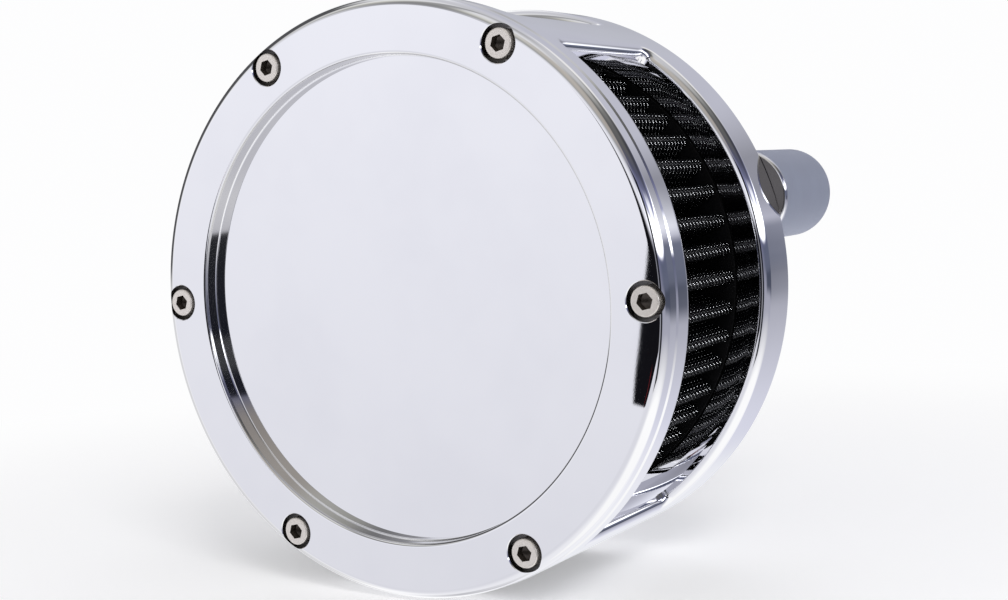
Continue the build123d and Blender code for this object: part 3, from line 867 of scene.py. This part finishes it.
def screw(centre, seat_y, head, shank, pitch, neck=None, knurled=True):
    """A socket head screw without its socket. head and shank are (radius, length), as is the plain neck."""
    segments = 72
    head_r, head_h = head
    shank_r, length = shank
    edge = 0.42 if head_r < 4.5 else 0.6
    top, tip, start = seat_y - head_h, seat_y + length, seat_y
    rows = [(0, top), (head_r - edge, top)]
    for a in np.linspace(0.3, math.pi / 2, 5):
        rows.append((head_r - edge + edge * math.sin(a), top + edge - edge * math.cos(a)))
    if knurled:
        ridged = head_r - np.where(np.arange(segments) % 2, 0.13, 0.0)
        rows += [(ridged, top + edge + 0.25), (ridged, seat_y - 0.5)]
    rows += [(head_r, seat_y - 0.3), (head_r - 0.3, seat_y)]
    if neck:
        neck_r, neck_length = neck
        start += neck_length
        rows += [(neck_r, seat_y), (neck_r, start)]
    rows += thread_rows(shank_r, pitch, start, tip - shank_r * 0.16, segments)
    return spin(rows + [(shank_r * 0.84, tip), (0, tip)], segments, centre)


def build_screws(node, places, seat_y, head, shank, socket, drill=0.0, **details):
    """All the screws of a node as one piece. socket is (width over flats, depth), drill a bore's radius."""
    top, tip = seat_y - head[1], seat_y + shank[1]
    flats, depth = socket
    screws = [screw(c, seat_y, head, shank, **details) for c in places]
    obj = make_object(f"{node}_fine", *joined(screws))
    tools = [merged_tool([hexagon(c, flats, top - 1, top + depth) for c in places])]
    if drill:
        tools.append(merged_tool([hole(drill, top - 2, tip + 2, 40, c) for c in places]))
    cut(obj, tools)
    smooth(obj, [flat(top), flat(seat_y)], sharp=28)

    # painted shade inside the hex sockets
    def in_socket(p):
        y = p[:, 1]
        return near_places(p, places, flats * 0.6) & (y > top + 0.05) & (y < top + depth + flats * 0.3)

    mark_painted_shade(obj, in_socket)
    finish_piece(obj, node)


head_y = FRONT_Y + 4.83
build_screws("cover_screws", COVER_SCREWS, head_y, (3.96, 4.83), (2.41, 9.5), (3.97, 2.5), pitch=1.058)
head_y = SEAT_Y - INLET_SEAT - LOCK_WASHER
sizes = {"head": (4.76, 6.35), "shank": (3.175, 22.2), "socket": (4.76, 3.2), "pitch": 1.27}
build_screws("throttle_screws", THROTTLE_SCREWS, head_y, neck=(2.9, BACK_Y - head_y), **sizes)
head_y = BOLT_SEAT_Y - BOLT_WASHER
sizes = {"head": (7.15, 6.5), "shank": (4.76, 28.0), "socket": (7.94, 4.0), "pitch": 1.588, "drill": 2.6}
for side, spot in STANDOFFS.items():
    neck = (4.35, BOLT_NECK_END - head_y)
    build_screws(f"breather_bolt_{side}", [spot], head_y, neck=neck, knurled=False, **sizes)


# -------- turned small parts
def turned_piece(node, rows, segments, centre=(0, 0), planes=(), radii=(), tools=(), shade_mask=None):
    """A turned piece about an axis along Y; planes and radii name its exact flats and cylinders."""
    obj = make_object(f"{node}_fine", *spin(rows, segments, centre))
    if tools:
        cut(obj, [merged_tool(tools)])
    smooth(obj, [flat(y) for y in planes], [(*centre, r) for r in radii])
    # the faces the mask names get painted shade
    if shade_mask:
        mark_painted_shade(obj, shade_mask)
    finish_piece(obj, node)


def ring_rows(inner, outer, y0, y1, edge, steps):
    """A ring with rounded rims, as a closed profile."""
    (r0, r1), (y0, y1) = (inner + edge, outer - edge), (y0 + edge, y1 - edge)
    corners = ((r1, y0, 270), (r1, y1, 0), (r0, y1, 90), (r0, y0, 180))
    return [point for r, y, start in corners for point in arc(r, y, edge, start, start + 90, steps)]


def o_ring(node, centre=(0, 0)):
    """A rubber ring as thick and wide as its CAD node."""
    lo, hi = mm_box(node)
    cord = (hi[1] - lo[1]) / 2
    mean = (hi[0] - lo[0]) / 2 - cord
    turned_piece(node, arc(mean, (lo[1] + hi[1]) / 2, cord, 0, 360, 16)[:-1], 96, centre)


def build_inlet():
    """The rounded mouth ring with its seats for the throttle screws and its O-ring's groove."""
    top, seat = SEAT_Y - INLET_HEIGHT, SEAT_Y - INLET_SEAT
    edge, groove_out, groove_in, groove = 1.5, 40.7, 38.5, SEAT_Y - 1.4
    rows = arc(THROTTLE_R + INLET_MOUTH, top + INLET_MOUTH, INLET_MOUTH, 180, 270, 20)
    rows += arc(INLET_R - edge, top + edge, edge, 270, 360, 8)
    rows += [(INLET_R, SEAT_Y - 0.2), (INLET_R - 0.2, SEAT_Y), (groove_out, SEAT_Y), (groove_out, groove)]
    rows += [(groove_in, groove), (groove_in, SEAT_Y), (THROTTLE_R, SEAT_Y)]
    stepped = [(0, top - 2), (INLET_SEAT_R, top - 2), (INLET_SEAT_R, seat), (THROTTLE_CLEAR_R, seat)]
    stepped += [(THROTTLE_CLEAR_R, BACK_Y + 2), (0, BACK_Y + 2)]
    planes, tools = (top, SEAT_Y, seat), [spin(stepped, 72, c) for c in THROTTLE_SCREWS]
    turned_piece("inlet_ring", rows, 192, planes=planes, radii=(THROTTLE_R, INLET_R), tools=tools)
    o_ring("inlet_ring_seal")


def build_gasket():
    """The throttle gasket, flush with the back of the housing."""
    inner, outer, front = 23.6, 39.6, BACK_Y - GASKET
    rows = [(inner, front), (outer, front), (outer, BACK_Y), (inner, BACK_Y)]
    tools = [hole(THROTTLE_CLEAR_R, BACK_Y - 4, BACK_Y + 2, 48, c) for c in THROTTLE_SCREWS]
    turned_piece("throttle_gasket", rows, 144, planes=(front, BACK_Y), radii=(inner, outer), tools=tools)


def build_lock_washers():
    """Three split spring washers; each is a bent square bar whose ends stand a little apart."""
    steps, gap, play = 60, math.radians(9), 0.02
    lo, hi = mm_box("throttle_screw_washers")
    y0, y1 = lo[1] + play, hi[1] - play
    section = ((3.3, y0), (5.0, y0), (5.0, y1), (3.3, y1))
    faces = [(0, 1, 2, 3), tuple(4 * steps + i for i in range(4))]
    for low in range(0, 4 * steps, 4):
        faces += band(low, low + 4, 4)
    washers = []
    for x, z in THROTTLE_SCREWS:
        away = math.atan2(z, x)
        angles = [away + gap + (TAU - 2 * gap) * k / steps for k in range(steps + 1)]
        verts = [(x + r * math.cos(a), y, z + r * math.sin(a)) for a in angles for r, y in section]
        washers.append((verts, faces))
    obj = make_object("throttle_screw_washers_fine", *joined(washers))
    smooth(obj)
    finish_piece(obj, "throttle_screw_washers")


def build_standoff(side, centre):
    """One standoff with its collar, its seals and its bolt's washer."""
    edge = 0.8
    rows = arc(COLLAR_R - edge, BACK_Y + edge, edge, 270, 360, 8)
    rows += [(COLLAR_R, COLLAR_Y), (SOCKET_R, COLLAR_Y), (SOCKET_R, BACK_Y)]
    planes, radii = (BACK_Y, COLLAR_Y), (COLLAR_R, SOCKET_R)

    # painted shade on the collar's faces that lie against the housing
    def against_housing(p):
        return (p[:, 1] < BACK_Y + 0.02) * 0.9

    turned_piece(f"standoff_collar_{side}", rows, 144, centre, planes, radii, shade_mask=against_housing)
    end = mm_box(f"standoff_{side}")[1][1]
    edge, small, groove_r, groove = 0.4, 0.3, 10.9, end - 1.7
    rows = [(STANDOFF_BORE_R, SPIGOT_Y), (SPIGOT_R - small, SPIGOT_Y), (SPIGOT_R, SPIGOT_Y + small)]
    rows += [(SPIGOT_R, COLLAR_Y), (STANDOFF_R - edge, COLLAR_Y)]
    rows += arc(STANDOFF_R - edge, COLLAR_Y + edge, edge, 270, 360, 5)
    rows += arc(STANDOFF_R - edge, end - edge, edge, 0, 90, 5)
    rows += [(groove_r, end), (groove_r, groove), (SPIGOT_R, groove), (SPIGOT_R, end)]
    rows += [(STANDOFF_HOLE_R + small, end), (STANDOFF_HOLE_R, end - small)]
    rows += [(STANDOFF_HOLE_R, BOLT_SEAT_Y), (STANDOFF_BORE_R, BOLT_SEAT_Y)]
    planes, radii = (end, COLLAR_Y, BOLT_SEAT_Y), (STANDOFF_R, SPIGOT_R, STANDOFF_BORE_R, STANDOFF_HOLE_R)
    turned_piece(f"standoff_{side}", rows, 144, centre, planes, radii)
    washer = ring_rows(STANDOFF_HOLE_R, 7.1, BOLT_SEAT_Y - BOLT_WASHER, BOLT_SEAT_Y, 0.2, 3)
    turned_piece(f"breather_bolt_washer_{side}", washer, 72, centre)
    o_ring(f"standoff_seal_{side}", centre)
    o_ring(f"head_seal_{side}", centre)


build_inlet()
build_gasket()
build_lock_washers()
for side, spot in STANDOFFS.items():
    build_standoff(side, spot)


# -------- filter element
def fold_path(shift):
    """Closed path of one surface of the folded sheet, shifted outwards; no two pleats are quite alike."""
    step = TAU / PLEATS
    tip_round, root_round = FOLD_ROUND + shift, FOLD_ROUND - shift
    points = []

    def bend(centre_r, round_r, turn, steps):
        """Half a turn round a fold at centre_r; a root has a negative round_r."""
        cs, sn = math.cos(turn), math.sin(turn)
        for j in range(steps + 1):
            a = -math.pi / 2 + math.pi * j / steps
            r, s = centre_r + round_r * math.cos(a), abs(round_r) * math.sin(a)
            points.append((r * cs - s * sn, r * sn + s * cs))

    for k in range(PLEATS):
        low = 0.18 * abs(math.sin(1.9 * k))
        tip_turn = step * k + 0.0035 * math.sin(2.4 * k + 0.6) + 0.0025 * math.sin(5.1 * k)
        root_turn = step * (k + 0.5) + 0.004 * math.sin(3.7 * k)
        bend(FOLD_TIP_R + shift - tip_round - low, tip_round, tip_turn, TIP_STEPS)
        bend(FOLD_ROOT_R + shift + root_round, -root_round, root_turn, ROOT_STEPS)
    return points


def swayed(x, z, pleat, f):
    """A point of the sheet at the share f of its height, with the pleat's tip swaying to the side."""
    r = math.hypot(x, z)
    sway = 0.22 * math.sin(math.pi * f) * math.sin(3.1 * pleat + 2.2 * f)
    a = math.atan2(z, x) + sway * max(0.0, (r - 54) / 14) / r
    return r * math.cos(a), r * math.sin(a)


def folded_sheet(node, inner_shift, outer_shift):
    """A closed folded band, with a uv layer named sheet that measures it in mm."""
    y0, y1 = mm_box("filter_front_ring")[1][1], mm_box("filter_rear_ring")[0][1]
    rows = 13
    pleat_points = TIP_STEPS + ROOT_STEPS + 2
    n = PLEATS * pleat_points
    verts, uvs = [], []
    for path in (fold_path(outer_shift), fold_path(inner_shift)):
        lengths = np.cumsum([0.0] + [math.dist(p, q) for p, q in zip(path, path[1:])])
        for k in range(rows):
            f = k / (rows - 1)
            y = y0 + (y1 - y0) * f
            for i, point in enumerate(path):
                x, z = swayed(*point, i // pleat_points, f)
                verts.append((x, y, z))
                uvs.append((lengths[i], y))
    faces = []
    for low in range(0, (rows - 1) * n, n):
        faces += band(low, low + n, n) + band(low + rows * n, low + (rows + 1) * n, n)
    for low in (0, (rows - 1) * n):
        faces += band(low, low + rows * n, n)
    obj = make_object(f"{node}_fine", verts, faces, join=False)
    sheet = obj.data.uv_layers.new(name="sheet")
    for poly in obj.data.polygons:
        high = max(uvs[v][0] for v in poly.vertices)
        for loop, vertex in zip(poly.loop_indices, poly.vertices):
            u, v = uvs[vertex]
            # where the band closes, u runs on past its end
            sheet.data[loop].uv = (high + 0.5 if high - u > 100 else u, v)
    smooth(obj, sharp=45)
    finish_piece(obj, node)


folded_sheet("filter_media", -0.55, 0.55)
folded_sheet("filter_outer_mesh", 0.62, 0.9)
folded_sheet("filter_inner_mesh", -0.9, -0.62)
for node in ("filter_front_ring", "filter_rear_ring"):
    (_, y0, _), (_, y1, _) = mm_box(node)
    rows = ring_rows(ELEMENT_BORE_R, ELEMENT_R, y0, y1, 0.4, 6)
    turned_piece(node, rows, 288, planes=(y0, y1), radii=(ELEMENT_R, ELEMENT_BORE_R))


# -------- floor
BACKDROP = (0.985, 0.985, 0.99)


def build_floor():
    """A pale sheet under the object, far larger than it, that fades into the backdrop."""
    half_width, steps, gap = 6.0, 24, 0.0004  # metres
    bm = bmesh.new()
    bmesh.ops.create_grid(bm, x_segments=steps, y_segments=steps, size=half_width)
    mesh = bpy.data.meshes.new("studio_floor")
    bm.to_mesh(mesh)
    bm.free()
    obj = placed("studio_floor", mesh)
    obj.location = (0, 0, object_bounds()[0].z - gap)

    def paper(nodes):
        place = nodes.position()
        x, y, _ = nodes.split(place)
        tone = nodes.mix(nodes.noise(place, 0.6, 3.0), (0.90, 0.90, 0.905), (0.93, 0.93, 0.935))
        near = nodes.summed(principled(nodes, tone, 0.9), nodes.glow((1, 1, 1), 0.3))
        fade = nodes.ramp(nodes.length(x, y), 90, 420)
        return nodes.layered(fade, near, nodes.glow(BACKDROP, 1.0))

    mesh.materials.append(material("studio_paper", paper))
    obj.visible_glossy = False


build_floor()

# -------- light
# the room's four sides, each from the ground up as (elevation in degrees, brightness, blueness)
FRONT = [(-90, 0.92, 0.03), (-52, 0.88, 0.03), (-30, 0.76, 0.05), (-18, 0.755, 0.05), (8, 0.93, 0.05)]
FRONT += [(18, 0.70, 0.04), (24, 0.36, 0), (33, 0.40, -0.05), (42, 0.60, -0.05), (52, 0.72, 0)]
FRONT += [(64, 0.76, 0.02), (78, 0.5, 0.02), (90, 0.34, 0)]
LEFT = [(-90, 0.92, 0.02), (-74, 0.72, 0.03), (-66, 0.55, 0.04), (-56, 0.95, 0.02), (-48, 1.08, 0)]
LEFT += [(46, 1.08, 0), (58, 0.66, 0.04), (90, 0.55, 0.04)]
BACK = [(-90, 0.9, 0.02), (-32, 0.95, 0.03), (-25, 0.76, 0.1), (-15, 0.56, 0.1), (-3, 0.35, 0.12)]
BACK += [(2, 0.36, 0.12), (7, 0.52, 0.12), (12, 0.33, 0.12), (17, 0.32, 0.1), (23, 0.56, 0.1)]
BACK += [(45, 0.6, 0.08), (80, 0.62, 0.05), (90, 0.45, 0)]
RIGHT = [(-90, 0.97, 0), (-33, 1.02, 0), (-28, 0.9, 0.02), (-21, 0.68, 0.04), (-14, 0.45, 0.12)]
RIGHT += [(-8, 0.40, 0.14), (-2, 0.29, 0.2), (5, 0.22, 0.3), (20, 0.36, 0.3), (27, 0.22, 0.32)]
RIGHT += [(32, 0.12, 0.3), (40, 0.11, 0), (47, 0.13, 0), (52, 0.19, -0.03), (58, 0.4, -0.02)]
RIGHT += [(64, 0.55, 0.02), (74, 0.6, 0.03), (90, 0.34, 0)]


def build_world():
    """The studio that the bright metal mirrors: white tent, black flag, strip light and a darker room."""
    world = bpy.data.worlds.new("studio")
    bpy.context.scene.world = world
    world.use_nodes = True
    n = Nodes(world.node_tree)
    dx, dy, dz = n.split(n.add("ShaderNodeTexCoord").outputs["Generated"])
    # in degrees: azimuth is 0 towards -Y and 90 towards +X
    azimuth = n.times(n.math("ARCTAN2", dx, n.times(dy, -1.0)), 180 / math.pi)
    elevation = n.times(n.math("ARCSINE", dz), 180 / math.pi)
    height = n.ramp(elevation, -90, 90, shape="LINEAR")

    def window(value, lo, hi, soft_lo, soft_hi):
        rise = n.ramp(value, lo - soft_lo / 2, lo + soft_lo / 2)
        return n.times(rise, n.ramp(value, hi - soft_hi / 2, hi + soft_hi / 2, 1.0, 0.0))

    def card(color, az, az_soft, el, el_soft, below, amount=1.0):
        """Paints a soft rectangle of directions over what is there. Ranges are (low, high) in degrees."""
        shape = n.times(window(azimuth, *az, *az_soft), window(elevation, *el, *el_soft))
        return n.mix(n.times(shape, amount), below, color)

    def column(stops):
        """One side of the room."""
        node = n.add("ShaderNodeValToRGB", {0: height})
        elements = node.color_ramp.elements
        for place, (degrees, bright, blue) in enumerate(stops):
            at = (degrees + 90) / 180
            element = elements[place] if place < 2 else elements.new(at)
            element.position = at
            element.color = (bright * (1 - blue), bright * (1 - 0.9 * blue), bright * (1 + 0.5 * blue), 1.0)
        return node.outputs[0]

    sky = n.mix(n.ramp(azimuth, -72, -44), column(LEFT), column(FRONT))
    sky = n.mix(n.ramp(azimuth, 8, 46), sky, column(RIGHT))
    behind = n.math("MAXIMUM", n.ramp(azimuth, 138, 160), n.ramp(azimuth, -140, -156))
    sky = n.mix(behind, sky, column(BACK))
    # warm things high up in front and behind on the right
    sky = card((0.44, 0.40, 0.36), (-6, 42), (20, 12), (28, 54), (8, 14), sky, 0.75)
    sky = card((0.86, 0.85, 0.84), (141, 176), (16, 10), (33, 64), (14, 12), sky, 0.9)
    # darkest corner of the room
    sky = card((0.035, 0.037, 0.045), (104, 150), (30, 12), (24, 44), (8, 14), sky, 0.7)
    sky = card((0.035, 0.045, 0.075), (78, 158), (24, 10), (-8, -1), (4, 4), sky, 0.85)
    sky = card((0.10, 0.115, 0.17), (64, 160), (36, 10), (-2, 6), (4, 2), sky, 0.8)
    # strip light to the right, with its bright middle and a wider glow above it
    sky = card((1.9, 1.93, 2.0), (26, 154), (20, 12), (7.5, 17.5), (3, 5), sky)
    sky = card((3.4, 3.5, 3.7), (50, 140), (16, 16), (10, 15), (4, 4), sky)
    sky = card((1.2, 1.22, 1.3), (68, 104), (16, 16), (12, 24), (6, 7), sky, 0.9)
    # black flag in front on the right: its left edge leans and its lower edge rises to the right
    leaning = n.minus(azimuth, n.times(elevation, 0.14))
    past_corner = n.math("MINIMUM", n.math("MAXIMUM", n.plus(azimuth, 27.0), 0.0), 17.0)
    lowered = n.plus(elevation, n.times(past_corner, 0.33))
    upright = window(leaning, -25.8, 26, 0.07, 14)
    level = n.times(n.ramp(lowered, -8.75, -8.6), n.ramp(elevation, 3, 9, 1.0, 0.0))
    sky = n.mix(n.times(upright, level), sky, (0.006, 0.006, 0.008))
    # the edge of something red under the flag's corner
    sky = card((0.38, 0.03, 0.03), (-26.2, -24.6), (0.1, 0.4), (-9.0, -7.6), (0.2, 0.4), sky)
    # the dark side of the camera, beside the lens
    sky = card((0.008, 0.009, 0.013), (29.5, 47), (1.5, 3), (-24, 25.2), (1, 1), sky, 0.97)
    # dark half of the room on the left, seen in the roundings of the rims
    sky = card((0.45, 0.45, 0.47), (-128, -62), (14, 16), (-45, -2), (14, 4), sky, 0.6)
    sky = card((0.03, 0.03, 0.035), (-128, -62), (14, 16), (-2, 50), (4, 14), sky, 0.95)
    # the camera's own dark stand above the lens
    sky = card((0.20, 0.20, 0.21), (-40, -28), (8, 8), (11, 76), (8, 14), sky, 0.75)
    # a pale wall behind on the left, in front of it a dark upright, and bright ground below
    sky = card((0.52, 0.53, 0.59), (-172, -138), (12, 10), (5, 24), (6, 8), sky, 0.8)
    sky = card((0.05, 0.05, 0.06), (-153, -147), (2, 2), (-8, 14), (6, 8), sky, 0.4)
    sky = card((0.88, 0.89, 0.93), (-174, -138), (14, 10), (-36, -9), (8, 8), sky, 0.85)
    direct = n.add("ShaderNodeLightPath").outputs["Is Camera Ray"]
    studio = n.add("ShaderNodeBackground", {0: sky, 1: 1.0}).outputs[0]
    plain = n.add("ShaderNodeBackground", {0: (*BACKDROP, 1.0), 1: 1.0}).outputs[0]
    n.add("ShaderNodeOutputWorld", {0: n.layered(direct, studio, plain)})


def build_key_lamp():
    """One soft square lamp, above and to the front right. Lengths are metres."""
    data = bpy.data.lights.new("key_lamp", "AREA")
    data.shape = "RECTANGLE"
    data.size = data.size_y = 0.6
    data.energy = 9.0
    data.color = (1, 0.99, 0.97)
    lamp = placed("key_lamp", data)
    place, target = Vector((0.9, -0.9, 1.1)), Vector((0, -0.04, 0))
    lamp.location = place
    lamp.rotation_euler = (target - place).to_track_quat("-Z", "Y").to_euler()
    lamp.visible_glossy = False


build_world()
build_key_lamp()

# -------- camera
CAMERA_AZIMUTH = math.radians(31.68)
CAMERA_ELEVATION = math.radians(4.57)
CAMERA_ROLL = math.radians(-3.0)
CAMERA_RIGHT, CAMERA_UP, CAMERA_BACK = 0.3732, 0.0072, 5.0154  # housing radii from the cover's centre
CAMERA_LENS, CAMERA_SENSOR = 54.46, 36.0


def build_camera():
    """Looks back at the cover along the direction given by azimuth and elevation."""
    flat_part = math.cos(CAMERA_ELEVATION)
    x, y, z = math.sin(CAMERA_AZIMUTH), -math.cos(CAMERA_AZIMUTH), math.sin(CAMERA_ELEVATION)
    back = Vector((x * flat_part, y * flat_part, z))
    level = Vector((0, 0, 1)).cross(back).normalized()
    right = math.cos(CAMERA_ROLL) * level + math.sin(CAMERA_ROLL) * back.cross(level)
    up = back.cross(right)
    data = bpy.data.cameras.new("camera")
    data.lens, data.sensor_width = CAMERA_LENS, CAMERA_SENSOR
    data.clip_start, data.clip_end = 0.01, 50.0
    camera = placed("camera", data)
    away = CAMERA_RIGHT * right + CAMERA_UP * up + CAMERA_BACK * back
    place = Vector((0, FRONT_Y * MM, 0)) + OUTER_R * MM * away
    camera.matrix_world = Matrix.Translation(place) @ Matrix((right, up, back)).transposed().to_4x4()
    bpy.context.scene.camera = camera


build_camera()
bpy.context.scene.view_settings.view_transform = "Standard"
